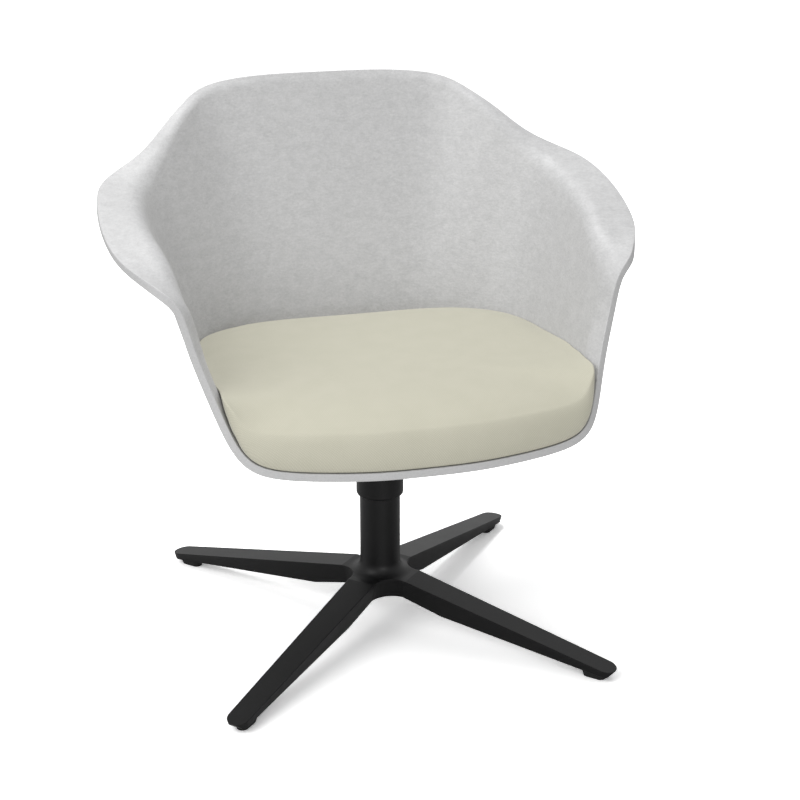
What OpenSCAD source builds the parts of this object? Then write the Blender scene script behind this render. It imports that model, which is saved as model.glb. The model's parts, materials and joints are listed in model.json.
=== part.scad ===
// Pedestal swivel armchair: a moulded felt tub on a four-star pedestal.
// Millimetres. Z points up, the chair faces -Y, and the origin lies on the
// floor under the middle of the chair's outline. The parts are drawn round the
// swivel axis, which stands a little in front of that.

/* [Felt tub] */
// width of the tub over its arm flanges, to the inner edge of the cut rim
shell_w = 684; // [620:1:740]
// length the tub is drawn to, from the front lip to the top of the back
shell_d = 562; // [520:1:610]
// height of the top of the back above the seat pad
shell_h = 389; // [340:1:430]
// height of the inside of the seat pad above the floor
pad_z = 305.5; // [295:0.5:320]
// radius of the flat pad under the cushion, where the plates are bolted
pad_r = 95; // [93:0.5:100]
// thickness of the moulded felt
felt_t = 9.8; // [8:0.1:11]
// run of the round corner between floor and wall, along each of them
floor_round = 75; // [50:1:90]
// run of the round crease between wall and arm flange, along each of them
crease_round = 20; // [16:1:28]

/* [Seat cushion] */
// height of the crown of the cushion above the seat pad
cushion_h = 96; // [90:1:104]
// height of the cushion's edge above the seat pad, beside the crown
cushion_edge = 86; // [80:1:88]
// rise of the cushion's edge towards the front, in degrees
cushion_rake = 4; // [0:0.5:5]
// height of the cushion's edge above the seat pad, at the front
cushion_front = 60; // [50:1:70]
// distance the middle of the front face stands out past its foot
front_bulge = 4; // [0:0.5:8]
// gap between the cushion and the felt
cushion_gap = 0.9; // [0.6:0.1:2]
// thickness of the board in the cushion's underside
board_t = 4; // [3:0.5:6]

/* [Star base] */
// distance from the swivel axis to the end of a leg
leg_reach = 350; // [310:1:380]
// height of the flat hub top above the floor
hub_top = 74; // [68:0.5:82]
// height of the top face at the end of a leg
tip_top = 15.5; // [14:0.5:20]
// width of the top face of a leg where it leaves the hub
leg_root_w = 39.8; // [36:0.2:44]
// width of the top face of a leg at its end
leg_tip_w = 29.6; // [26:0.2:34]
// slope of a leg's side faces, inwards for each unit downwards
side_draft = 0.25; // [0.1:0.01:0.3]
// radius of the hollow corner between two legs
notch_r = 26; // [20:1:32]
// slope of the cut under the end of a leg, in degrees from upright
tip_cut = 45; // [30:1:55]
// outside diameter of the column
column_d = 54; // [50:0.5:58]
// drop from the seat pad to the top of the column
column_drop = 53.5; // [48:0.5:66]
// radius where the column runs into the hub
foot_r = 16; // [8:1:18]

/* [Swivel] */
// diameter of the spindle
spindle_d = 25; // [20:0.5:28]
// bore through the column, which holds the bushes
bore_d = 34; // [32:0.5:38]
// length of each bush
bush_l = 30; // [20:1:40]
// radial running clearance of the spindle in its bushes
run_fit = 0.05; // [0.02:0.01:0.1]
// number of bearing balls
ball_n = 14; // [10:1:15]
// diameter of a bearing ball
ball_d = 5; // [4:0.1:5.5]
// outside diameter of the collar round the top of the column
collar_d = 63; // [60:0.5:66]
// height of the lower edge of the collar
collar_z = 186.5; // [175:0.5:200]

/* [Fasteners] */
// diameter of the circle the seat bolts lie on
bolt_circle = 140; // [132:1:146]
// thread diameter of the seat bolts
bolt_d = 6; // [5:1:6]
// outside diameter of the carrier's plate under the seat
carrier_d = 176; // [170:1:182]
// outside diameter of the clamp plate inside the seat
clamp_d = 168; // [160:1:172]

/* [Hidden] */
$fn = 64;
// places round the tub, and round the cushion, at which sections are taken
shell_steps = 126;
cushion_steps = 63;

// Shares of half the width, of the depth and of the height above the seat
// pad. Each row is one place on the right half of the tub, from the middle
// of the front lip, round the arm, to the middle of the top of the back.
rim_shares = [
  [0.000, -0.441, 0.047], [0.174, -0.441, 0.047], [0.361, -0.420, 0.050],
  [0.525, -0.393, 0.055], [0.619, -0.373, 0.083], [0.666, -0.329, 0.164],
  [0.707, -0.283, 0.271], [0.760, -0.249, 0.407], [0.786, -0.246, 0.528],
  [0.849, -0.226, 0.570], [0.893, -0.174, 0.586], [0.977, -0.070, 0.612],
  [1.004, 0.059, 0.656], [1.001, 0.151, 0.693], [0.984, 0.278, 0.728],
  [0.903, 0.342, 0.754], [0.780, 0.387, 0.799], [0.684, 0.437, 0.879],
  [0.592, 0.501, 0.933], [0.498, 0.557, 0.984], [0.240, 0.565, 1.003],
  [0.000, 0.563, 1.001],
];
crease_shares = [
  [0.000, -0.415, 0.045], [0.168, -0.414, 0.045], [0.349, -0.394, 0.048],
  [0.508, -0.372, 0.052], [0.591, -0.344, 0.070], [0.637, -0.293, 0.149],
  [0.676, -0.242, 0.253], [0.729, -0.206, 0.388], [0.749, -0.214, 0.500],
  [0.773, -0.192, 0.537], [0.776, -0.147, 0.559], [0.794, -0.050, 0.629],
  [0.825, 0.038, 0.660], [0.834, 0.127, 0.673], [0.828, 0.249, 0.706],
  [0.786, 0.317, 0.739], [0.713, 0.371, 0.789], [0.643, 0.422, 0.870],
  [0.564, 0.486, 0.921], [0.480, 0.542, 0.965], [0.234, 0.553, 0.977],
  [0.000, 0.552, 0.974],
];
floor_shares = [
  [0.000, -0.327, 0.022], [0.147, -0.334, 0.022], [0.290, -0.324, 0.021],
  [0.449, -0.312, 0.024], [0.547, -0.286, 0.028], [0.590, -0.253, 0.025],
  [0.603, -0.219, 0.020], [0.610, -0.175, 0.018], [0.615, -0.133, 0.016],
  [0.619, -0.090, 0.014], [0.620, -0.043, 0.013], [0.619, 0.011, 0.011],
  [0.612, 0.070, 0.009], [0.597, 0.127, 0.007], [0.568, 0.177, 0.005],
  [0.523, 0.217, 0.003], [0.463, 0.244, 0.003], [0.392, 0.261, 0.003],
  [0.312, 0.270, 0.003], [0.219, 0.274, 0.003], [0.114, 0.276, 0.003],
  [0.000, 0.276, 0.003],
];
// How far along a straight run, or round a corner, each row of points lies.
run_share = 0.33;
corner_shares = [0, 0.25, 0.5, 0.75, 1];
// The longest share of a run that a round corner may take.
floor_run_share = 0.8;
crease_run_share = 0.45;
// length over which one limit of the floor's round corner passes into another
soften = 10;
// Crown of the cushion: share of the way in from its edge, share of the rise.
crown_shares = [
  [0.02, 0.24], [0.06, 0.48], [0.12, 0.68], [0.21, 0.83], [0.36, 0.94],
  [0.64, 0.99],
];
// Share of the cushion's side that stands under its widest place, share of
// the edge height over which its front differs, and share of the front's
// bulge at its edge.
foot_share = 0.42;
front_share = 0.75;
bulge_share = 0.75;
crown_y_share = -0.08;
crown_y = crown_y_share * shell_d;
// rows of a section on the pad, the floor and the round corner, the row at
// the top of the straight wall, and the floor rows the cushion follows
floor_rows = 8;
wall_row = 10;
cushion_rows = [0, 3, 4, 5, 6, 7];
// the cushion's front foot lies this far in from the rim, and above it
lip_inset = 2;
lip_lift = 2;

// the swivel axis stands this far in front of the origin
axis_front = 37;
// cuts, and pieces that grow into others, run this far past the face they meet
over = 1;

pad_under = pad_z - felt_t;
plate_t = 6;
clamp_t = 3;
nut_h = 5;
nut_w = 10;
washer_t = 1.6;
washer_d = 12;
head_h = 3.3;
head_d = 10.5;
socket_w = 4;
socket_h = 2;
hole_play = 0.6;
bolt_tail = 0.7;
tape_d = 78;
clamp_top = pad_z + clamp_t;
nut_top = clamp_top + nut_h;
// the nuts stand this far into the holes of the board
nut_sink = 0.6;
board_z = nut_top - nut_sink;
board_d = clamp_d;
nut_room_d = 17;
recess_z = board_z + board_t;
recess_wall = 4;
recess_r = pad_r - recess_wall;
tape_t = (board_z - clamp_top) / 2;

// leg
leg_root_r = 50;
leg_slope = (hub_top - tip_top) / (leg_reach - leg_root_r);
side_run = (leg_tip_w - leg_root_w) / 2 / (leg_reach - leg_root_r)
  + side_draft * leg_slope;
side_start = leg_root_w / 2 - side_run * leg_root_r - side_draft * hub_top;
hub_under = 46;
// the flat underside of the hub ends this far inside the notch's middle
hub_set = 4;
under_bend_r = 100;
under_bend_z = 31;
tip_under = 6.6;
tip_c = (leg_reach - side_start - side_draft * tip_top) / (1 + side_run);
notch_c = (notch_r + side_start + side_draft * hub_top) / (1 - side_run);
well_d = 56;
well_top = 60;
pocket_w = 13;
pocket_roof = 7;
pocket_in = 72;
under_slope = (under_bend_z - tip_under) / (leg_reach - under_bend_r);
// set-back of the glide from the end of the leg, its length, and the solid
// stretch of leg between it and the pocket
glide_set = 14;
glide_l = 30;
pocket_end = 8;
glide_out = leg_reach - glide_set;
glide_in = glide_out - glide_l;
pocket_out = glide_in - pocket_end;
glide_w = 15;
glide_draft = 0.3;
glide_h = 14;
peg_d = 8;
peg_h = 7;

// swivel
column_top = pad_z - column_drop;
race_t = 1.5;
race_step = 1;
race_in = bore_d + 2 * race_step;
race_out = column_d - 2 * race_step;
ball_gap = 0.04;
ball_c = (race_in + race_out) / 4;
race_gap = ball_d + 2 * ball_gap;
upper_race_z = column_top + race_t + race_gap;
boss_z = upper_race_z + race_t;
cage_t = 2;
cage_play = 0.5;
ball_play = 0.2;
flange_t = 3;
flange_w = 5;
flange_d = bore_d + 2 * flange_w;
stop_t = 2;
stop_d = 40;
stop_gap = 0.1;
clip_t = 1.2;
groove_t = 1;
groove_d = spindle_d - 2 * groove_t;
clip_d = 33;
clip_open = 8;
stop_top = well_top - flange_t - stop_gap;
clip_top = stop_top - stop_t;
spindle_end = 2.2;
spindle_bottom = clip_top - clip_t - spindle_end;
cap_t = 2;
cap_lip = 5;
cap_wall = 2;
cap_set = 0.8;
cap_z = hub_under + cap_set;
skirt_play = 0.6;
skirt_round = 3.5;
rib_t = 6;
rib_set = 6;
rib_out = carrier_d / 2 - rib_set;
rib_drop = 26;

black = [0.12, 0.12, 0.12];
steel = [0.62, 0.63, 0.65];
felt = [0.80, 0.80, 0.80];
cloth = [0.82, 0.81, 0.74];
plastic = [0.16, 0.16, 0.16];
acetal = [0.90, 0.89, 0.85];

// carries what is drawn round the swivel axis to its place
module on_axis() translate([0, -axis_front, 0]) children();

// Curves.
function at(row) =
  [row[0] * shell_w / 2, row[1] * shell_d, pad_z + row[2] * shell_h];
function both_sides(rows) = let (n = len(rows)) concat(
  [for (r = rows) at(r)],
  [for (i = [n - 2 : -1 : 1]) let (p = at(rows[i])) [-p[0], p[1], p[2]]]);
rim_ring = both_sides(rim_shares);
crease_ring = both_sides(crease_shares);
floor_ring = both_sides(floor_shares);

// a smooth closed curve drawn by its control points
function smooth(p, s) = let (
  n = len(p), i = floor(s), u = s - i,
  a = p[(i + n - 1) % n], b = p[i % n], c = p[(i + 1) % n],
  d = p[(i + 2) % n])
  (a * pow(1 - u, 3) + b * (3 * u * u * u - 6 * u * u + 4)
    + c * (-3 * u * u * u + 3 * u * u + 3 * u + 1) + d * u * u * u) / 6;
function unit(v) = v / norm(v);
function bend(a, b, c, s) =
  a * (1 - s) * (1 - s) + b * 2 * s * (1 - s) + c * s * s;
function flat(p) = [p[0], p[1], 0];
// goes from 0 to 1 with a soft start and end
function eased(t) = let (u = max(0, min(1, t))) u * u * (3 - 2 * u);
// the smaller of two lengths, passing smoothly from one to the other
function softer(a, b) = (a + b - norm([a - b, soften])) / 2;

// the inside of the tub at place s, from the flat pad to the rim
function section(s) = let (
  b = smooth(floor_ring, s), c = smooth(crease_ring, s),
  r = smooth(rim_ring, s),
  a = unit(flat(b)) * pad_r + [0, 0, pad_z],
  lb = softer(softer(floor_round, floor_run_share * norm(b - a)),
    crease_run_share * norm(c - b)),
  lc = min(crease_round, crease_run_share * norm(r - c)),
  b1 = b + unit(a - b) * lb, b2 = b + unit(c - b) * lb,
  c1 = c + unit(b - c) * lc, c2 = c + unit(r - c) * lc)
  concat([a, a + (b1 - a) * run_share, a + (b1 - a) * 2 * run_share],
    [for (t = corner_shares) bend(b1, b, b2, t)],
    [for (t = [1 : 3]) b2 + (c1 - b2) * t / 4],
    [for (t = corner_shares) bend(c1, c, c2, t)],
    [(c2 + r) / 2, r]);

function shell_points(steps) =
  [for (j = [0 : steps - 1]) section(j * len(rim_ring) / steps)];

// upright to the surface at row k of place j
function normal_at(g, j, k) = k == 0 ? [0, 0, 1] : let (
  n = len(g), m = len(g[0]),
  round_way = g[(j + 1) % n][k] - g[(j + n - 1) % n][k],
  up_way = g[j][min(k + 1, m - 1)] - g[j][max(k - 1, 0)])
  unit(cross(up_way, round_way));
function moved(g, t) = [for (j = [0 : len(g) - 1])
  [for (k = [0 : len(g[0]) - 1]) g[j][k] + normal_at(g, j, k) * t]];

// triangles of a tube of rings, each ring holding n points
function tube(n, rings, first, out) = [for (k = [0 : rings - 2])
  for (j = [0 : n - 1]) let (
    a = first + k * n + j, b = first + k * n + (j + 1) % n,
    c = b + n, d = a + n)
    each (out ? [[a, c, b], [a, d, c]] : [[a, b, c], [a, c, d]])];
function fan(n, first, centre, out) = [for (j = [0 : n - 1]) let (
  a = first + j, b = first + (j + 1) % n)
  out ? [a, b, centre] : [b, a, centre]];
function rings_of(g) = [for (k = [0 : len(g[0]) - 1])
  for (j = [0 : len(g) - 1]) g[j][k]];

// The felt tub.
module felt_shell() color(felt) on_axis() difference() {
  tub();
  bolt_holes(pad_under, felt_t, bolt_d + hole_play);
}
module tub() {
  g = shell_points(shell_steps);
  n = len(g);
  m = len(g[0]);
  outer = moved(g, -felt_t);
  // one closed skin: inside from pad to rim, over the cut edge, and back down
  skin = [for (j = [0 : n - 1])
    concat(g[j], [for (k = [m - 1 : -1 : 0]) outer[j][k]])];
  points = concat(rings_of(skin), [[0, 0, pad_z], [0, 0, pad_under]]);
  polyhedron(points = points, faces = concat(
    tube(n, 2 * m, 0, false),
    fan(n, 0, 2 * m * n, false),
    fan(n, (2 * m - 1) * n, 2 * m * n + 1, true)));
}

// The cushion, its board and the two discs that hold it.
// the place at height z on the straight wall of a section of the tub; it
// stands straight up where the wall would lean out past the lip
function wall_at(line, z) = let (
  a = line[floor_rows - 1], b = line[wall_row], top = line[len(line) - 1],
  leaning = a + (b - a) * (z - a[2]) / (b[2] - a[2]),
  upright = [top[0], top[1], z] - unit(flat(top)) * lip_inset)
  norm(flat(leaning)) < norm(flat(upright)) ? leaning : upright;
// one line over the cushion, from its underside to its crown
function cushion_line(line) = let (
  top = line[len(line) - 1],
  low = [for (k = cushion_rows) line[k]],
  foot = line[floor_rows - 1],
  // 1 at the middle of the front, 0 along the walls
  front = eased((pad_z + cushion_edge - top[2])
    / (front_share * cushion_edge)),
  side_z = cushion_edge - foot[1] * tan(cushion_rake),
  edge_z = pad_z + side_z + (cushion_front - side_z) * front,
  mid_z = min(top[2] + lip_lift, foot[2] + foot_share * (edge_z - foot[2])),
  out = unit(flat(top)) * front_bulge * front,
  edge = wall_at(line, edge_z) + out * bulge_share,
  mid = [0, crown_y, pad_z + cushion_h])
  concat(low, [wall_at(line, (foot[2] + mid_z) / 2), wall_at(line, mid_z),
    wall_at(line, (mid_z + edge_z) / 2) + out, edge],
    [for (c = crown_shares) [edge[0] + (mid[0] - edge[0]) * c[0],
      edge[1] + (mid[1] - edge[1]) * c[0],
      edge[2] + (mid[2] - edge[2]) * c[1]]]);
module seat_cushion() color(cloth) on_axis() {
  inside = moved(shell_points(cushion_steps), cushion_gap);
  lines = [for (line = inside) let (a = unit(flat(line[0])) * recess_r)
    concat([a + [0, 0, recess_z], a + [0, 0, line[0][2]]],
      cushion_line(line))];
  n = len(lines);
  m = len(lines[0]);
  points = concat(rings_of(lines),
    [[0, 0, recess_z], [0, crown_y, pad_z + cushion_h]]);
  polyhedron(points = points, faces = concat(
    tube(n, m, 0, true), fan(n, 0, m * n, true),
    fan(n, (m - 1) * n, m * n + 1, false)));
}
module cushion_board() color(plastic) on_axis() difference() {
  translate([0, 0, board_z]) cylinder(d = board_d, h = board_t);
  bolt_holes(board_z, board_t, nut_room_d);
}
module hook_tape() color(plastic) on_axis()
  translate([0, 0, clamp_top]) cylinder(d = tape_d, h = tape_t);
module loop_tape() color(plastic) on_axis()
  translate([0, 0, clamp_top + tape_t]) cylinder(d = tape_d, h = tape_t);

// The star base.
module leg_side() polygon([[0, hub_under], [notch_c - hub_set, hub_under],
  [under_bend_r, under_bend_z], [leg_reach, tip_under],
  [leg_reach, tip_top], [leg_root_r, hub_top], [0, hub_top]]);
// a leg along +X
module leg() difference() {
  rotate([90, 0, 0]) translate([0, 0, -leg_root_w])
    linear_extrude(2 * leg_root_w) leg_side();
  // the two sloping side faces
  for (s = [0, 1]) mirror([0, s, 0]) translate([0, side_start, 0])
    rotate([-asin(side_draft / norm([side_run, 1, side_draft])), 0,
      atan(side_run)])
      translate([-leg_reach, 0, -leg_reach])
        cube([3 * leg_reach, leg_reach, 2 * leg_reach]);
  // the round end
  difference() {
    translate([tip_c, -leg_root_w, 0])
      cube([leg_root_w, 2 * leg_root_w, hub_top]);
    translate([tip_c, 0, 0]) cylinder(h = hub_top,
      r1 = side_start + side_run * tip_c,
      r2 = side_start + side_run * tip_c + side_draft * hub_top);
  }
  // the undercut at the end
  translate([leg_reach, 0, tip_top]) rotate([0, tip_cut - 90, 0])
    translate([-hub_top, -leg_root_w, -hub_top])
      cube([2 * hub_top, 2 * leg_root_w, hub_top]);
  // the pocket in the underside
  translate([0, pocket_w / 2, 0]) rotate([90, 0, 0]) linear_extrude(pocket_w)
    polygon([[pocket_in, 0], [pocket_out, 0],
      [pocket_out, top_at(pocket_out) - pocket_roof],
      [pocket_in, top_at(pocket_in) - pocket_roof]]);
  // the hole for the glide's peg
  translate([glide_c, 0, 0]) cylinder(d = peg_d, h = peg_top);
}
function top_at(r) = hub_top - leg_slope * (r - leg_root_r);
function under_at(r) = under_bend_z - under_slope * (r - under_bend_r);
glide_c = (glide_in + glide_out) / 2;
peg_top = under_at(glide_c) + peg_h;
// the quarter of the hub between a leg along +X and one along +Y
module hub_quarter() difference() {
  union() {
    translate([0, 0, hub_under])
      cube([notch_c, notch_c, hub_top - hub_under]);
    intersection() {
      translate([0, 0, hub_top]) cube([notch_c, notch_c, foot_r]);
      translate([0, 0, hub_top]) rotate_extrude() difference() {
        square([column_d / 2 + foot_r, foot_r]);
        translate([column_d / 2 + foot_r, foot_r]) circle(foot_r);
      }
    }
  }
  translate([notch_c, notch_c, 0]) cylinder(h = hub_top + 2 * foot_r,
    r1 = notch_at(0), r2 = notch_at(hub_top + 2 * foot_r));
}
function notch_at(z) = notch_c * (1 - side_run) - side_start - side_draft * z;
module star_base() color(black) on_axis() difference() {
  union() {
    for (i = [0 : 3]) rotate(45 + 90 * i) {
      leg();
      hub_quarter();
    }
    translate([0, 0, well_top])
      cylinder(d = column_d, h = column_top - well_top);
  }
  translate([0, 0, hub_under - over])
    cylinder(d = well_d, h = well_top - hub_under + over);
  cylinder(d = bore_d, h = column_top + over);
}
// a glide under the leg along +X, with a peg up into the leg
module glide() color(plastic) {
  out_c = glide_out - glide_w / 2;
  in_c = glide_in + glide_w / 2;
  top_w = glide_w + 2 * glide_draft * glide_h;
  difference() {
    union() {
      for (r = [in_c, out_c]) translate([r, 0, 0])
        cylinder(h = glide_h, d1 = glide_w, d2 = top_w);
      translate([in_c, 0, 0]) rotate([90, 0, 90])
        linear_extrude(out_c - in_c) polygon([[-glide_w / 2, 0],
          [glide_w / 2, 0], [top_w / 2, glide_h], [-top_w / 2, glide_h]]);
    }
    // the sloping underside of the leg
    translate([under_bend_r, 0, under_bend_z])
      rotate([0, atan(under_slope), 0]) translate([0, -leg_root_w, 0])
        cube([2 * leg_reach, 2 * leg_root_w, hub_top]);
  }
  translate([glide_c, 0, peg_top - peg_h - over])
    cylinder(d = peg_d, h = peg_h + over);
}
module glide_front_left() on_axis() rotate(225) glide();
module glide_front_right() on_axis() rotate(315) glide();
module glide_back_left() on_axis() rotate(135) glide();
module glide_back_right() on_axis() rotate(45) glide();
module hub_cap() color(plastic) on_axis() translate([0, 0, cap_z]) difference() {
  cylinder(d = well_d, h = cap_lip);
  translate([0, 0, cap_t]) cylinder(d = well_d - 2 * cap_wall, h = cap_lip);
}

// The swivel.
module ring(outer_d, inner_d, h) difference() {
  cylinder(d = outer_d, h = h);
  translate([0, 0, -over]) cylinder(d = inner_d, h = h + 2 * over);
}
bush_in = spindle_d + 2 * run_fit;
module lower_bush() color(acetal) on_axis() {
  translate([0, 0, well_top]) ring(bore_d, bush_in, bush_l);
  translate([0, 0, well_top - flange_t]) ring(flange_d, bush_in, flange_t);
}
module upper_bush() color(acetal) on_axis()
  translate([0, 0, column_top - bush_l]) ring(bore_d, bush_in, bush_l);
module lower_race() color(steel) on_axis()
  translate([0, 0, column_top]) ring(race_out, race_in, race_t);
module upper_race() color(steel) on_axis()
  translate([0, 0, upper_race_z]) ring(race_out, race_in, race_t);
ball_z = column_top + race_t + race_gap / 2;
module at_balls() for (i = [0 : ball_n - 1]) rotate(360 / ball_n * i)
  translate([ball_c, 0, ball_z]) children();
module ball_cage() color(acetal) on_axis() difference() {
  translate([0, 0, ball_z - cage_t / 2])
    ring(race_out - 2 * cage_play, race_in + 2 * cage_play, cage_t);
  at_balls() cylinder(d = ball_d + 2 * ball_play, h = ball_d, center = true);
}
module bearing_balls() color(steel) on_axis() at_balls() sphere(d = ball_d);
module spindle() color(steel) on_axis() difference() {
  translate([0, 0, spindle_bottom])
    cylinder(d = spindle_d, h = pad_under - spindle_bottom);
  translate([0, 0, clip_top - clip_t])
    ring(spindle_d + 2 * over, groove_d, clip_t);
}
module stop_washer() color(steel) on_axis()
  translate([0, 0, stop_top - stop_t]) ring(stop_d, bush_in, stop_t);
module circlip() color(steel) on_axis() translate([0, 0, clip_top - clip_t])
  difference() {
    ring(clip_d, groove_d, clip_t);
    translate([0, -clip_open / 2, -over])
      cube([clip_d, clip_open, clip_t + 2 * over]);
  }

// The seat carrier and its fasteners.
plate_z = pad_under - plate_t;
module at_bolts(z) for (i = [0 : 3]) rotate(90 * i)
  translate([bolt_circle / 2, 0, z]) children();
// cuts the four bolt holes through a plate that starts at height z
module bolt_holes(z, thickness, d) at_bolts(z - over)
  cylinder(d = d, h = thickness + 2 * over);
module seat_carrier() color(black) on_axis() difference() {
  union() {
    // the collar, with its round lower edge
    rotate_extrude() {
      translate([0, collar_z + skirt_round])
        square([collar_d / 2, plate_z - collar_z - skirt_round]);
      translate([0, collar_z])
        square([collar_d / 2 - skirt_round, skirt_round]);
      translate([collar_d / 2 - skirt_round, collar_z + skirt_round])
        circle(skirt_round);
    }
    translate([0, 0, plate_z]) cylinder(d = carrier_d, h = plate_t);
    for (i = [0 : 3]) rotate(45 + 90 * i) translate([0, rib_t / 2, 0])
      rotate([90, 0, 0]) linear_extrude(rib_t)
        polygon([[0, plate_z], [rib_out, plate_z],
          [collar_d / 2, plate_z - rib_drop], [0, plate_z - rib_drop]]);
  }
  translate([0, 0, collar_z - over])
    cylinder(d = column_d + 2 * skirt_play, h = boss_z - collar_z + over);
  cylinder(d = spindle_d, h = pad_z);
  bolt_holes(plate_z, plate_t, bolt_d + hole_play);
}
module seat_bolts() color(steel) on_axis() at_bolts(plate_z - washer_t - head_h) {
  difference() {
    cylinder(d = head_d, h = head_h);
    translate([0, 0, -over]) linear_extrude(socket_h + over) hexagon(socket_w);
  }
  translate([0, 0, head_h])
    cylinder(d = bolt_d, h = nut_top + bolt_tail - plate_z + washer_t);
}
module hexagon(w) polygon([for (a = [30 : 60 : 330])
  [cos(a), sin(a)] * w / 2 / cos(30)]);
module bolt_washers() color(steel) on_axis()
  at_bolts(plate_z - washer_t) ring(washer_d, bolt_d + hole_play, washer_t);
module clamp_plate() color(steel) on_axis() difference() {
  translate([0, 0, pad_z]) cylinder(d = clamp_d, h = clamp_t);
  bolt_holes(pad_z, clamp_t, bolt_d + hole_play);
}
module weld_nuts() color(steel) on_axis() at_bolts(clamp_top) difference() {
  linear_extrude(nut_h) hexagon(nut_w);
  translate([0, 0, -over]) cylinder(d = bolt_d, h = nut_h + 2 * over);
}

star_base();
glide_front_left();
glide_front_right();
glide_back_left();
glide_back_right();
lower_bush();
upper_bush();
lower_race();
hub_cap();
ball_cage();
bearing_balls();
upper_race();
spindle();
stop_washer();
circlip();
seat_carrier();
seat_bolts();
bolt_washers();
clamp_plate();
weld_nuts();
hook_tape();
loop_tape();
felt_shell();
cushion_board();
seat_cushion();
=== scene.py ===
# Looks of the pedestal swivel armchair: felt tub, seat cushion and black star base.
import bpy
import bmesh
import json
import math
import numpy as np
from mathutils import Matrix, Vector


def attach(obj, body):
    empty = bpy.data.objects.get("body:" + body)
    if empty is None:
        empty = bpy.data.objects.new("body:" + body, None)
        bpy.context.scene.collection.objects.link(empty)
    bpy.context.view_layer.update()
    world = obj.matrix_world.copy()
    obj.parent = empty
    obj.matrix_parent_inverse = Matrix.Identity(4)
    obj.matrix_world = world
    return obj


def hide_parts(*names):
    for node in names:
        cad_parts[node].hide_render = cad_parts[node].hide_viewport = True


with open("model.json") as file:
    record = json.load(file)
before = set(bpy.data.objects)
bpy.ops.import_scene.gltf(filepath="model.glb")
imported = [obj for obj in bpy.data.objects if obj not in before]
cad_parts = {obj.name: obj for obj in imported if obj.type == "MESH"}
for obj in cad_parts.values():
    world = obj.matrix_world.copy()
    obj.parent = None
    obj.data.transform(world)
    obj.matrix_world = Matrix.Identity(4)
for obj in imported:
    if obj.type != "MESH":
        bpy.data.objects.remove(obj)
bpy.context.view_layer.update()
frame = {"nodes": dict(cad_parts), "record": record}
MM = 0.001
# the swivel axis, round which everything is drawn, stands in front of the origin
AXIS = np.array([0.0, -37.0, 0.0])

# Places round the tub on its rim, its crease and the foot of its wall, as shares of half its width, its depth
# and its height above the seat pad. They run from the middle of the front lip round the right half, as seen
# from the front, to the middle of the back. Most of these rows are the output of a program that fitted them
# to the photo. They weren't chosen by hand.
RIM = [
    (0.000, -0.441, 0.047), (0.174, -0.441, 0.047), (0.361, -0.420, 0.050), (0.525, -0.393, 0.055),
    (0.619, -0.373, 0.083), (0.666, -0.329, 0.164), (0.707, -0.283, 0.271), (0.760, -0.249, 0.407),
    (0.786, -0.246, 0.528), (0.849, -0.226, 0.570), (0.893, -0.174, 0.586), (0.977, -0.070, 0.612),
    (1.004, 0.059, 0.656), (1.001, 0.151, 0.693), (0.984, 0.278, 0.728), (0.903, 0.342, 0.754),
    (0.780, 0.387, 0.799), (0.684, 0.437, 0.879), (0.592, 0.501, 0.933), (0.498, 0.557, 0.984),
    (0.240, 0.565, 1.003), (0.000, 0.563, 1.001),
]
CREASE = [
    (0.000, -0.415, 0.045), (0.168, -0.414, 0.045), (0.349, -0.394, 0.048), (0.508, -0.372, 0.052),
    (0.591, -0.344, 0.070), (0.637, -0.293, 0.149), (0.676, -0.242, 0.253), (0.729, -0.206, 0.388),
    (0.749, -0.214, 0.500), (0.773, -0.192, 0.537), (0.776, -0.147, 0.559), (0.794, -0.050, 0.629),
    (0.825, 0.038, 0.660), (0.834, 0.127, 0.673), (0.828, 0.249, 0.706), (0.786, 0.317, 0.739),
    (0.713, 0.371, 0.789), (0.643, 0.422, 0.870), (0.564, 0.486, 0.921), (0.480, 0.542, 0.965),
    (0.234, 0.553, 0.977), (0.000, 0.552, 0.974),
]
FLOOR = [
    (0.000, -0.327, 0.022), (0.147, -0.334, 0.022), (0.290, -0.324, 0.021), (0.449, -0.312, 0.024),
    (0.547, -0.286, 0.028), (0.590, -0.253, 0.025), (0.603, -0.219, 0.020), (0.610, -0.175, 0.018),
    (0.615, -0.133, 0.016), (0.619, -0.090, 0.014), (0.620, -0.043, 0.013), (0.619, 0.011, 0.011),
    (0.612, 0.070, 0.009), (0.597, 0.127, 0.007), (0.568, 0.177, 0.005), (0.523, 0.217, 0.003),
    (0.463, 0.244, 0.003), (0.392, 0.261, 0.003), (0.312, 0.270, 0.003), (0.219, 0.274, 0.003),
    (0.114, 0.276, 0.003), (0.000, 0.276, 0.003),
]

# Sizes of the felt tub in millimetres.
SHELL_W, SHELL_D, SHELL_H = 684, 562, 389
PAD_Z, PAD_R, FELT_T = 305.5, 95, 9.8
FLOOR_ROUND, CREASE_ROUND = 75, 20
# the longest share of the floor's run, and of the wall's or the flange's, that a round corner may take
FLOOR_RUN_SHARE, WALL_RUN_SHARE = 0.8, 0.45
# length over which one limit of a round corner passes into another
SOFTEN = 10
# rows of a section: how finely the floor, the two round corners, the wall and the flange are cut
RUN_ROWS, CORNER_ROWS, WALL_ROWS, BRIM_ROWS = 5, 10, 9, 4
FLOOR_END = RUN_ROWS + CORNER_ROWS - 2
WALL_END = FLOOR_END + WALL_ROWS
TUB_STEPS = 336
# the cut edge: radius of its two rounded corners, points of each, and the rows between them
EDGE_ROUND, EDGE_POINTS = 1.1, 5
BETWEEN_SHARES = (0.3, 0.5, 0.7)
# rows of each rounded corner that still have the finish of the moulded face
MOULDED_ROWS = 2
# how often the outside of the round crease is evened, and from how many rows under it
CREASE_PASSES, ROWS_UNDER = 4, 2

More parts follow.
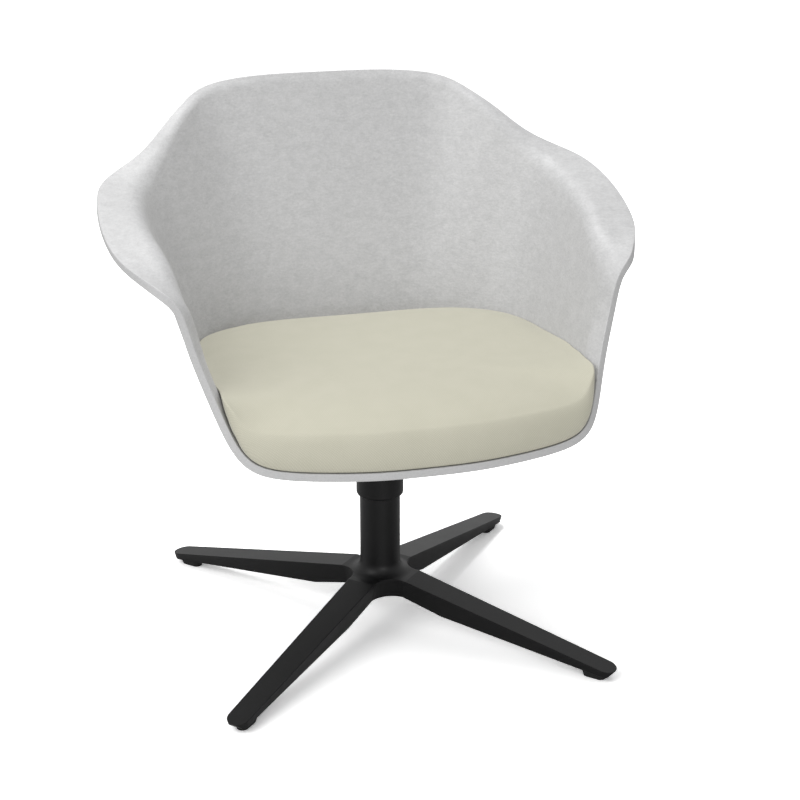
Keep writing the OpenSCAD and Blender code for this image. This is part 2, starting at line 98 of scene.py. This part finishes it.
# Sizes of the seat cushion in millimetres: its crown, its edge, how many degrees that leans, and its front.
CUSHION_STEPS = 168
CUSHION_H, CUSHION_EDGE, CUSHION_RAKE, CUSHION_FRONT = 96, 86, 4, 60
# gap to the felt, and distance that its side keeps inside the rim
GAP, LIP_IN = 0.7, 0.4
# share of the way that its side is drawn out over the round crease; at its edge this holds where the rim is
# low, and fades over LOW_OVER until the rim stands LOW_ABOVE over the edge
DRAWN, LOW_ABOVE, LOW_OVER = 0.9, 12, 30
# Fitted: the crown and the middle of the back edge lie a little lower than the solid's, the front edge
# and the front of the side edges higher; the back and side edges change from a place on, over a length.
CROWN_LESS, BACK_DIP, BACK_FROM, BACK_OVER, BACK_HALF = 6, 6, 40, 100, 150
SIDE_RAISE, SIDE_FROM, SIDE_OVER = 5, 30, 80
FRONT_RAISE = 6
# share of the edge's height over which the front differs, and of the side that stands under its widest place
FRONT_SHARE, FOOT_SHARE = 0.75, 0.42
FOOT_SHARES = (0.5, 0.9, 1)
# how far the front stands out as it rolls over, at shares of the height from its widest place to its edge
FRONT_ROLL = [(0.04, 0.8), (0.25, 3.0), (0.5, 3.1), (0.75, 0.5), (1, -6.5)]
# the crown from the edge to the middle: share of the way, share of the height, and that share at the front
CROWN = [(0.005, 0.1, 0.04), (0.02, 0.24, 0.14), (0.04, 0.37, 0.25), (0.06, 0.48, 0.34), (0.09, 0.59, 0.45),
         (0.12, 0.68, 0.54), (0.16, 0.76, 0.64), (0.21, 0.83, 0.74), (0.28, 0.89, 0.83), (0.36, 0.94, 0.90),
         (0.48, 0.97, 0.955), (0.64, 0.99, 0.985), (0.8, 0.997, 0.997)]
CROWN_Y_SHARE = -0.08
# height over the pad of the middle of its underside, a shallow cone
UNDERSIDE = 13
# the swelling: how much smaller the cushion starts, the room over its crown, the longest way a point may go,
# the frames it takes, how often the way is evened, and the rows of the crown over which it comes free
SHRINK, ROOM, CAP = 1.5, 2, 5
SWELL_FRAMES, SWELL_PASSES, FREE_ROWS = 20, 12, 5
# a hair's rise from row to row keeps heights in order where two rows are level
HAIR = 0.001

# Light: the even white surroundings, how bright the floor looks and how bright it is where it lights the
# chair, the height that the lamps aim at in metres, and the lamps
# (name, place from the middle of the seat, size, watts).
SKY = 0.70
FLOOR_SEEN, FLOOR_LIGHT, FLOOR_SIZE = 1.6, 0.60, 60
LAMP_AIM = 0.4
LAMPS = [("left", (-2.1, -1.1, 1.8), 2.4, 43), ("top", (-0.3, 0.9, 2.6), 0.8, 38),
         ("front", (0.0, -2.6, -0.12), 1.0, 18)]
# Camera: lens and width of its frame in millimetres, degrees down and round, and in metres how far up and
# aside of the swivel axis the place is that it looks at, and how far away from that it stands.
LENS, FRAME_W = 75.015, 36
CAMERA_DOWN, CAMERA_ROUND = 20.97, -14.86
AIM_UP, AIM_ASIDE, CAMERA_AWAY = 0.3187, 0.0269, 2.1847


# Curves, and the grids of points they give.
def ring(rows):
    """A closed ring of control points in millimetres, from its rows for one half."""
    right = [np.array([x * SHELL_W / 2, y * SHELL_D, PAD_Z + z * SHELL_H]) for x, y, z in rows]
    left = [p * np.array([-1, 1, 1]) for p in right[-2:0:-1]]
    return np.array(right + left)


def smooth(p, s):
    """Places s on the smooth closed curve that follows the control points p."""
    n = len(p)
    i = np.floor(s).astype(int)
    u = (s - i)[:, None]
    a, b, c, d = (p[(i + k) % n] for k in (-1, 0, 1, 2))
    return (a * (1 - u) ** 3 + b * (3 * u ** 3 - 6 * u ** 2 + 4)
            + c * (-3 * u ** 3 + 3 * u ** 2 + 3 * u + 1) + d * u ** 3) / 6


def bend(a, b, c, t):
    """A place on the round corner from a to c, which b draws out."""
    return a * (1 - t) ** 2 + b * 2 * t * (1 - t) + c * t * t


def unit(v):
    return v / np.linalg.norm(v, axis=-1, keepdims=True)


def length(v):
    return np.linalg.norm(v, axis=-1, keepdims=True)


def flat(p):
    return p * np.array([1, 1, 0])


def softer(a, b):
    """The smaller of two lengths, passing smoothly from one to the other."""
    return (a + b - np.sqrt((a - b) ** 2 + SOFTEN ** 2)) / 2


def eased(t):
    """Goes from 0 to 1 with a soft start and end."""
    return t * t * (3 - 2 * t)


def sections(steps):
    """The inside of the tub: steps places round it, each from the flat pad to the rim."""
    s = np.arange(steps) * (2 * (len(RIM) - 1)) / steps
    foot, crease, rim = smooth(ring(FLOOR), s), smooth(ring(CREASE), s), smooth(ring(RIM), s)
    pad = unit(flat(foot)) * PAD_R + np.array([0, 0, PAD_Z])
    floor_run = softer(FLOOR_ROUND, FLOOR_RUN_SHARE * length(foot - pad))
    low = softer(floor_run, WALL_RUN_SHARE * length(crease - foot))
    high = np.minimum(CREASE_ROUND, WALL_RUN_SHARE * length(rim - crease))
    foot_from, foot_to = foot + unit(pad - foot) * low, foot + unit(crease - foot) * low
    crease_from, crease_to = crease + unit(foot - crease) * high, crease + unit(rim - crease) * high
    rows = [pad + (foot_from - pad) * t for t in np.linspace(0, 1, RUN_ROWS)[:-1]]
    rows += [bend(foot_from, foot, foot_to, t) for t in np.linspace(0, 1, CORNER_ROWS)]
    rows += [foot_to + (crease_from - foot_to) * t for t in np.linspace(0, 1, WALL_ROWS + 1)[1:-1]]
    rows += [bend(crease_from, crease, crease_to, t) for t in np.linspace(0, 1, CORNER_ROWS)]
    rows += [crease_to + (rim - crease_to) * t for t in np.linspace(0, 1, BRIM_ROWS + 1)[1:]]
    return np.stack(rows, 1)


def normals(g):
    """Unit normals of a grid of sections, pointing into the tub."""
    round_way = np.roll(g, -1, 0) - np.roll(g, 1, 0)
    up_way = np.empty_like(g)
    up_way[:, 1:-1] = g[:, 2:] - g[:, :-2]
    up_way[:, 0] = g[:, 1] - g[:, 0]
    up_way[:, -1] = g[:, -1] - g[:, -2]
    n = unit(np.cross(up_way, round_way))
    n[:, 0] = (0, 0, 1)
    return n


def grid_mesh(name, g, first, last):
    """A closed tube of rings (places round, rows along), with a fan to a point at each end."""
    n, m = g.shape[:2]
    verts = ((g + AXIS).transpose(1, 0, 2).reshape(-1, 3) * MM).tolist()
    k, j = np.meshgrid(np.arange(m - 1), np.arange(n), indexing="ij")
    a, b = k * n + j, k * n + (j + 1) % n
    faces = np.stack([a, b, b + n, a + n], -1).reshape(-1, 4).tolist()
    for row, centre in ((0, first), (m - 1, last)):
        verts.append(((np.array(centre) + AXIS) * MM).tolist())
        for q in range(n):
            fan = [row * n + q, row * n + (q + 1) % n, len(verts) - 1]
            faces.append(fan[::-1] if row == 0 else fan)
    me = bpy.data.meshes.new(name)
    me.from_pydata(verts, [], faces)
    me.validate()
    me.update()
    o = bpy.data.objects.new(name, me)
    bpy.context.scene.collection.objects.link(o)
    me.polygons.foreach_set("use_smooth", [True] * len(me.polygons))
    outward(o)
    return o


def outward(o):
    """Turns every face of a closed mesh to the outside."""
    bm = bmesh.new()
    bm.from_mesh(o.data)
    bmesh.ops.recalc_face_normals(bm, faces=bm.faces)
    bm.to_mesh(o.data)
    bm.free()


def points(o):
    """A mesh's points in millimetres from the swivel axis."""
    co = np.empty(len(o.data.vertices) * 3, np.float32)
    o.data.vertices.foreach_get("co", co)
    return co.reshape(-1, 3).astype(float) / MM - AXIS


def apply_all(o):
    """Makes what an object's modifiers give its own mesh."""
    deps = bpy.context.evaluated_depsgraph_get()
    deps.update()
    me = bpy.data.meshes.new_from_object(o.evaluated_get(deps), preserve_all_data_layers=True, depsgraph=deps)
    o.modifiers.clear()
    old, o.data = o.data, me
    bpy.data.meshes.remove(old)


# The felt tub: inside, rounded cut edge and outside as one closed skin.
def evened(outside):
    """The outside with its round crease evened out, so that it doesn't fold where the arms turn down."""
    first, last = WALL_END - ROWS_UNDER, WALL_END + CORNER_ROWS
    for _ in range(CREASE_PASSES):
        outside[:, first:last] = (outside[:, first - 1:last - 1] + 2 * outside[:, first:last]
                                  + outside[:, first + 1:last + 1]) / 4
    return outside


def cut_edge(inside, up):
    """Rows of the cut edge from the inside to the outside, with both its corners rounded."""
    rim, rim_up = inside[:, -1], up[:, -1]
    way = unit(rim - inside[:, -2])
    turns = [math.radians(t) for t in np.linspace(0, 90, EDGE_POINTS)]

    def row(turn, depth):
        return rim - way * EDGE_ROUND * (1 - math.sin(turn)) - rim_up * depth

    rows = [row(a, EDGE_ROUND * (1 - math.cos(a))) for a in turns]
    rows += [rim - rim_up * (EDGE_ROUND + (FELT_T - 2 * EDGE_ROUND) * t) for t in BETWEEN_SHARES]
    rows += [row(a, FELT_T - EDGE_ROUND * (1 - math.cos(a))) for a in reversed(turns)]
    return np.stack(rows, 1)


def felt_tub():
    inside = sections(TUB_STEPS)
    up = normals(inside)
    outside = evened(inside - up * FELT_T)
    cut = cut_edge(inside, up)
    skin = np.concatenate([inside[:, :-1], cut, outside[:, -2::-1]], 1)
    tub = grid_mesh("felt_tub", skin, (0, 0, PAD_Z), (0, 0, PAD_Z - FELT_T))
    # the cut edge has a finish of its own
    first_cut = inside.shape[1] - 1
    cut_from, cut_to = first_cut + MOULDED_ROWS, first_cut + cut.shape[1] - 1 - MOULDED_ROWS
    for i, face in enumerate(tub.data.polygons):
        face.material_index = 1 if cut_from <= i // TUB_STEPS < cut_to else 0
    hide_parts("felt_shell")
    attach(tub, "seat")
    return tub


# The seat cushion.
def wall_at(g, z, up=0):
    """The cushion's side at height z, up from 0 to 1 between its widest place and its edge: it stands on the
    straight wall, and is drawn out over the tub's round crease, at its edge only where the rim is low."""
    a, b, top = g[:, FLOOR_END], g[:, WALL_END], g[:, -1]
    leaning = a + (b - a) * ((z - a[:, 2]) / (b[:, 2] - a[:, 2]))[:, None]
    post = top - unit(flat(top)) * LIP_IN
    post[:, 2] = z
    leaning = np.where(length(flat(leaning)) < length(flat(post)), leaning, post)
    hairs = np.arange(g.shape[1] - FLOOR_END) * HAIR
    on_skin = []
    for line, h in zip(g[:, FLOOR_END:], z):
        heights = np.maximum.accumulate(line[:, 2]) + hairs
        on_skin.append([np.interp(h, heights, line[:, 0]), np.interp(h, heights, line[:, 1]), h])
    on_skin = np.array(on_skin)
    on_skin = np.where(length(flat(on_skin)) < length(flat(post)), on_skin, post)
    low = np.clip((PAD_Z + CUSHION_EDGE + LOW_ABOVE - top[:, 2:]) / LOW_OVER, 0, 1)
    return leaning + (on_skin - leaning) * DRAWN * (1 - up * up * (1 - eased(low)))


def edge_height(foot):
    """Height of the cushion's edge over the seat pad, at the back and the sides."""
    side = CUSHION_EDGE - foot[:, 1] * math.tan(math.radians(CUSHION_RAKE))
    side = side - (BACK_DIP * np.clip((foot[:, 1] - BACK_FROM) / BACK_OVER, 0, 1)
                   * np.clip(1 - (foot[:, 0] / BACK_HALF) ** 2, 0, 1))
    return side + SIDE_RAISE * np.clip((SIDE_FROM - foot[:, 1]) / SIDE_OVER, 0, 1)


def cushion_lines(shrink, rise=0):
    """Lines over the cushion from the pad under it to its crown: shrink millimetres inside its skin, the
    crown rise higher."""
    g = sections(CUSHION_STEPS)
    g = g + normals(g) * (GAP + shrink)
    foot, top = g[:, FLOOR_END], g[:, -1]
    side = edge_height(foot)
    front = eased(np.clip((PAD_Z + CUSHION_EDGE - top[:, 2]) / (FRONT_SHARE * CUSHION_EDGE), 0, 1))
    edge_z = PAD_Z + side + (CUSHION_FRONT + FRONT_RAISE - side) * front - shrink
    widest_z = np.minimum(top[:, 2], foot[:, 2] + FOOT_SHARE * (edge_z - foot[:, 2]))
    out = unit(flat(top)) * front[:, None]
    rows = [g[:, k] for k in range(0, FLOOR_END + 1)]
    for t in FOOT_SHARES:
        rows.append(wall_at(g, foot[:, 2] + (widest_z - foot[:, 2]) * t))
    for t, bulge in FRONT_ROLL:
        rows.append(wall_at(g, widest_z + (edge_z - widest_z) * t, t) + out * bulge)
    edge = rows[-1]
    middle = np.array([0, CROWN_Y_SHARE * SHELL_D, PAD_Z + CUSHION_H - CROWN_LESS - shrink + rise])
    for way, height, front_height in CROWN:
        p = edge + (middle - edge) * way
        p[:, 2] = edge[:, 2] + (middle[2] - edge[:, 2]) * (height + (front_height - height) * front)
        rows.append(p)
    return np.stack(rows, 1), middle


def swell(o):
    """Swells the cushion against its own cloth, and gives where that takes its points."""
    scene = bpy.context.scene
    cloth = o.modifiers.new("cloth", "CLOTH")
    cloth.settings.quality = 6
    cloth.settings.mass = 0.25
    cloth.settings.tension_stiffness = 25
    cloth.settings.compression_stiffness = 25
    cloth.settings.bending_stiffness = 4
    cloth.settings.use_pressure = True
    cloth.settings.uniform_pressure_force = 4
    cloth.settings.effector_weights.gravity = 0
    cloth.point_cache.frame_start, cloth.point_cache.frame_end = 1, SWELL_FRAMES
    for f in range(1, SWELL_FRAMES + 1):
        scene.frame_set(f)
        bpy.context.view_layer.update()
    apply_all(o)
    scene.frame_set(1)
    return points(o)


def settled(swollen, small, small_middle):
    """The swollen cushion as lines: the tub holds its sides and underside, and the room its top."""
    plain, plain_middle = cushion_lines(0)
    room, room_middle = cushion_lines(0, ROOM)
    n, m = small.shape[:2]
    step = swollen[:n * m].reshape(m, n, 3).transpose(1, 0, 2) - small
    lift = swollen[-1] - small_middle
    for _ in range(SWELL_PASSES):
        step = (np.roll(step, 1, 0) + np.roll(step, -1, 0) + 2 * step) / 4
        step[:, 1:-1] = (step[:, :-2] + step[:, 2:] + 2 * step[:, 1:-1]) / 4
    lines = plain + step * np.minimum(1, CAP / length(step))
    middle = plain_middle + lift * min(1, CAP / np.linalg.norm(lift))
    rows = np.arange(m) - (m - len(CROWN))
    free = np.clip((rows + 1) / FREE_ROWS, 0, 1)[None, :, None]
    lines = plain + (lines - plain) * free
    lines[:, :, 2] = np.minimum(lines[:, :, 2], room[:, :, 2])
    middle[2] = min(middle[2], room_middle[2])
    return lines, middle


def seat_cushion():
    small, small_middle = cushion_lines(SHRINK)
    cushion = grid_mesh("padded_cushion", small, (0, 0, PAD_Z + UNDERSIDE), small_middle)
    lines, middle = settled(swell(cushion), small, small_middle)
    old = cushion.data
    bpy.data.objects.remove(cushion)
    bpy.data.meshes.remove(old)
    cushion = grid_mesh("padded_cushion", lines, (0, 0, PAD_Z + UNDERSIDE), middle)
    finer = cushion.modifiers.new("finer", "SUBSURF")
    finer.levels = finer.render_levels = 1
    apply_all(cushion)
    for face in cushion.data.polygons:
        face.use_smooth = True
    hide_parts("seat_cushion")
    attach(cushion, "seat")
    return cushion


# Materials.
class Mat:
    """A node material, with short calls for the nodes it is made of."""

    def __init__(self, name):
        self.m = bpy.data.materials.new(name)
        self.m.use_nodes = True
        self.t = self.m.node_tree
        self.bsdf = self.t.nodes["Principled BSDF"]
        self.where = self.t.nodes.new("ShaderNodeTexCoord")

    def node(self, kind, **values):
        n = self.t.nodes.new("ShaderNode" + kind)
        for k, v in values.items():
            setattr(n, k, v)
        return n

    def link(self, a, b):
        self.t.links.new(a, b)

    def put(self, socket, value):
        """Sets a socket to a number or a colour, or joins it to another node."""
        if isinstance(value, (int, float)):
            socket.default_value = value
        elif isinstance(value, tuple):
            socket.default_value = (*value, 1)
        else:
            self.link(value, socket)

    def stretched(self, stretch):
        """Places on the object, stretched along each axis."""
        mapping = self.node("Mapping")
        mapping.inputs["Scale"].default_value = stretch
        self.link(self.where.outputs["Object"], mapping.inputs["Vector"])
        return mapping.outputs[0]

    def noise(self, scale, detail=2.0, rough=0.5, stretch=(1, 1, 1)):
        n = self.node("TexNoise")
        self.put(n.inputs["Scale"], scale)
        self.put(n.inputs["Detail"], detail)
        self.put(n.inputs["Roughness"], rough)
        self.link(self.stretched(stretch), n.inputs["Vector"])
        return n.outputs["Fac"]

    def yarns(self, way, scale, uneven):
        """One set of parallel yarns across the top, slanting to one side or the other."""
        w = self.node("TexWave", wave_type="BANDS", bands_direction="DIAGONAL", wave_profile="SIN")
        self.put(w.inputs["Scale"], scale)
        self.put(w.inputs["Distortion"], uneven)
        self.put(w.inputs["Detail"], 1)
        self.link(self.stretched((way, 1, 0.8)), w.inputs["Vector"])
        return w.outputs["Fac"]

    def ramp(self, fac, stops):
        r = self.node("ValToRGB")
        e = r.color_ramp.elements
        while len(e) < len(stops):
            e.new(0.5)
        for el, (pos, col) in zip(e, stops):
            el.position = pos
            el.color = (*col, 1)
        self.link(fac, r.inputs[0])
        return r.outputs[0]

    def maths(self, kind, a, b):
        n = self.node("Math", operation=kind)
        self.put(n.inputs[0], a)
        self.put(n.inputs[1], b)
        return n.outputs[0]

    def mix(self, fac, a, b):
        n = self.node("Mix", data_type="RGBA", blend_type="MIX")
        # sockets 6 and 7 are the two colours, and output 2 is the mixed one
        for k, v in ((0, fac), (6, a), (7, b)):
            self.put(n.inputs[k], v)
        return n.outputs[2]

    def between(self, fac, low, high):
        """A number that goes from low to high with fac."""
        r = self.node("MapRange")
        self.put(r.inputs["To Min"], low)
        self.put(r.inputs["To Max"], high)
        self.link(fac, r.inputs["Value"])
        return r.outputs[0]

    def bump(self, height, strength, distance, normal=None):
        n = self.node("Bump")
        self.put(n.inputs["Strength"], strength)
        self.put(n.inputs["Distance"], distance)
        self.link(height, n.inputs["Height"])
        if normal is not None:
            self.link(normal, n.inputs["Normal"])
        return n.outputs[0]

    def rounded(self, radius):
        """The surface with its edges looking rounded, by a radius in metres."""
        n = self.node("Bevel", samples=6)
        self.put(n.inputs["Radius"], radius)
        return n.outputs[0]

    def set(self, **values):
        names = {"colour": "Base Color", "rough": "Roughness", "metal": "Metallic", "normal": "Normal",
                 "sheen": "Sheen Weight", "sheen_rough": "Sheen Roughness", "spec": "Specular IOR Level"}
        for k, v in values.items():
            self.put(self.bsdf.inputs[names[k]], v)
        return self.m


def shades(colour, darker, lighter):
    """A colour made a little darker, and a little lighter."""
    return tuple(c * darker for c in colour), tuple(min(1, c * lighter) for c in colour)


def felt_material():
    m = Mat("moulded_felt")
    speck = m.noise(scale=420, detail=3, rough=0.6)
    fibre = m.noise(scale=170, detail=4, rough=0.65, stretch=(1, 1, 2.4))
    cloud = m.noise(scale=60, detail=3, rough=0.55, stretch=(1, 1, 1.6))
    base = m.ramp(speck, [(0.30, (0.372, 0.372, 0.375)), (0.55, (0.438, 0.438, 0.441)),
                          (0.75, (0.503, 0.503, 0.503))])
    base = m.mix(0.42, base, m.ramp(fibre, [(0.34, (0.345, 0.345, 0.348)), (0.66, (0.525, 0.525, 0.528))]))
    base = m.mix(0.25, base, m.ramp(cloud, [(0.36, (0.370, 0.370, 0.370)), (0.64, (0.505, 0.505, 0.505))]))
    height = m.maths("ADD", m.maths("MULTIPLY", speck, 0.6), m.maths("MULTIPLY", fibre, 0.6))
    return m.set(colour=base, rough=0.5, sheen=0.1, sheen_rough=0.45, spec=0.5,
                 normal=m.bump(height, strength=0.28, distance=0.0012))


def felt_edge_material():
    m = Mat("cut_felt_edge")
    speck = m.noise(scale=520, detail=3, rough=0.7)
    layer = m.noise(scale=240, detail=4, rough=0.7, stretch=(1, 1, 5))
    base = m.ramp(speck, [(0.3, (0.385, 0.385, 0.388)), (0.7, (0.475, 0.475, 0.475))])
    base = m.mix(0.4, base, m.ramp(layer, [(0.3, (0.385, 0.385, 0.385)), (0.7, (0.490, 0.490, 0.490))]))
    height = m.maths("ADD", speck, layer)
    return m.set(colour=base, rough=0.92, sheen=0.1, sheen_rough=0.5, spec=0.2,
                 normal=m.bump(height, strength=0.35, distance=0.001))


def weave_material():
    m = Mat("cream_weave")
    warp, weft = m.yarns(1, scale=210, uneven=0.4), m.yarns(-1, scale=210, uneven=0.4)
    cross = m.maths("MULTIPLY", warp, weft)
    cloud = m.noise(scale=30, detail=2, rough=0.5)
    base = m.ramp(cross, [(0.0, (0.407, 0.395, 0.318)), (1.0, (0.505, 0.491, 0.410))])
    base = m.mix(0.25, base, m.ramp(cloud, [(0.35, (0.439, 0.431, 0.347)), (0.65, (0.483, 0.471, 0.388))]))
    height = m.maths("ADD", warp, weft)
    return m.set(colour=base, rough=0.84, sheen=0.15, sheen_rough=0.4, spec=0.25,
                 normal=m.bump(height, strength=0.12, distance=0.0005))


def paint_material(name, colour, rough, grain, round_mm, shine=0.25):
    m = Mat(name)
    peel = m.noise(scale=grain, detail=2, rough=0.5)
    wear = m.noise(scale=25, detail=3, rough=0.55)
    dark, light = shades(colour, 0.85, 1.18)
    edge = m.rounded(round_mm * MM) if round_mm else None
    return m.set(colour=m.ramp(wear, [(0.3, dark), (0.7, light)]), spec=shine,
                 rough=m.between(wear, rough - 0.04, rough + 0.05),
                 normal=m.bump(peel, strength=0.05, distance=0.0004, normal=edge))


def metal_material(name, colour, rough):
    m = Mat(name)
    brushed = m.noise(scale=300, detail=2, rough=0.6, stretch=(1, 1, 14))
    dark, light = shades(colour, 0.9, 1.08)
    return m.set(colour=m.ramp(brushed, [(0.3, dark), (0.7, light)]), metal=1.0,
                 rough=m.between(brushed, rough - 0.06, rough + 0.08),
                 normal=m.bump(brushed, strength=0.05, distance=0.0002, normal=m.rounded(0.3 * MM)))


def finishes():
    """The finish of each of the record's material slots."""
    black = paint_material("black_powder_coat", (0.0035, 0.0035, 0.0037), 0.42, 700, 1.6, 0.22)
    carrier_black = paint_material("black_carrier", (0.0040, 0.0040, 0.0042), 0.45, 700, 0.8, 0.2)
    return {"grey_felt": felt_material(), "cream_fabric": weave_material(),
            "black_aluminium": black, "black_steel": carrier_black,
            "black_plastic": paint_material("black_glide", (0.012, 0.012, 0.012), 0.6, 500, 0.8),
            "board_plastic": paint_material("board", (0.05, 0.05, 0.05), 0.6, 400, 0.5),
            "hook_tape": paint_material("hook_and_loop", (0.02, 0.02, 0.022), 0.95, 900, 0),
            "bush_plastic": paint_material("bearing_plastic", (0.76, 0.74, 0.66), 0.4, 300, 0.3),
            "bearing_steel": metal_material("bearing_steel", (0.56, 0.57, 0.58), 0.28),
            "zinc_steel": metal_material("zinc_plate", (0.62, 0.63, 0.66), 0.34)}


# Floor, light and camera.
def white_floor():
    """A floor that looks white and is dimmer where it lights the chair."""
    bpy.ops.mesh.primitive_plane_add(size=FLOOR_SIZE, location=(0, 0, 0))
    floor = bpy.context.object
    floor.name = "floor"
    m = Mat("white_floor")
    m.t.nodes.remove(m.bsdf)
    rays = m.node("LightPath")
    matte = m.node("BsdfDiffuse")
    m.link(m.mix(rays.outputs["Is Camera Ray"], (FLOOR_LIGHT,) * 3, (FLOOR_SEEN,) * 3), matte.inputs["Color"])
    m.link(matte.outputs[0], m.t.nodes["Material Output"].inputs["Surface"])
    floor.data.materials.append(m.m)


def white_surroundings():
    """White where the camera sees them, straight, mirrored or through glass, and dimmer as light."""
    world = bpy.data.worlds.new("studio") if not bpy.data.worlds else bpy.data.worlds[0]
    bpy.context.scene.world = world
    world.use_nodes = True
    sky = world.node_tree
    sky.nodes["Background"].inputs["Color"].default_value = (1, 1, 1, 1)
    path = sky.nodes.new("ShaderNodeLightPath")
    shown = path.outputs["Is Camera Ray"]
    for rays in ("Is Glossy Ray", "Is Transmission Ray"):
        either = sky.nodes.new("ShaderNodeMath")
        either.operation = "MAXIMUM"
        sky.links.new(shown, either.inputs[0])
        sky.links.new(path.outputs[rays], either.inputs[1])
        shown = either.outputs[0]
    strength = sky.nodes.new("ShaderNodeMapRange")
    strength.inputs["To Min"].default_value, strength.inputs["To Max"].default_value = SKY, 1
    sky.links.new(shown, strength.inputs["Value"])
    sky.links.new(strength.outputs[0], sky.nodes["Background"].inputs["Strength"])


def lamp(name, at, size, power):
    """A round soft lamp aimed at the seat; at is measured from the middle of the seat."""
    data = bpy.data.lights.new(name, "AREA")
    data.shape, data.size, data.energy = "DISK", size, power
    o = bpy.data.objects.new(name, data)
    o.location = Vector(AXIS * MM) + Vector((0, 0, LAMP_AIM)) + Vector(at)
    o.rotation_euler = (-Vector(at)).to_track_quat("-Z", "Y").to_euler()
    bpy.context.scene.collection.objects.link(o)


def photo_camera():
    """The camera that the photo was taken with, as fitted to it."""
    data = bpy.data.cameras.new("camera")
    data.lens, data.sensor_width = LENS, FRAME_W
    camera = bpy.data.objects.new("camera", data)
    bpy.context.scene.collection.objects.link(camera)
    tilt, turn = math.radians(CAMERA_DOWN), math.radians(CAMERA_ROUND)
    ahead = Vector((-math.sin(turn) * math.cos(tilt), math.cos(turn) * math.cos(tilt), -math.sin(tilt)))
    side = Vector((math.cos(turn), math.sin(turn), 0))
    aim = Vector(AXIS * MM) + Vector((0, 0, AIM_UP)) + side * AIM_ASIDE
    camera.location = aim - ahead * CAMERA_AWAY
    camera.rotation_euler = ahead.to_track_quat("-Z", "Y").to_euler()
    bpy.context.scene.camera = camera


tub = felt_tub()
cushion = seat_cushion()

finish = finishes()
tub.data.materials.append(finish["grey_felt"])
tub.data.materials.append(felt_edge_material())
cushion.data.materials.append(finish["cream_fabric"])
for part in frame["record"]["subparts"]:
    node = frame["nodes"][part["node"]]
    node.data.materials.clear()
    node.data.materials.append(finish[part["material_slot"]])

white_floor()
white_surroundings()
for values in LAMPS:
    lamp(*values)
photo_camera()
bpy.context.scene.view_settings.view_transform = "Standard"
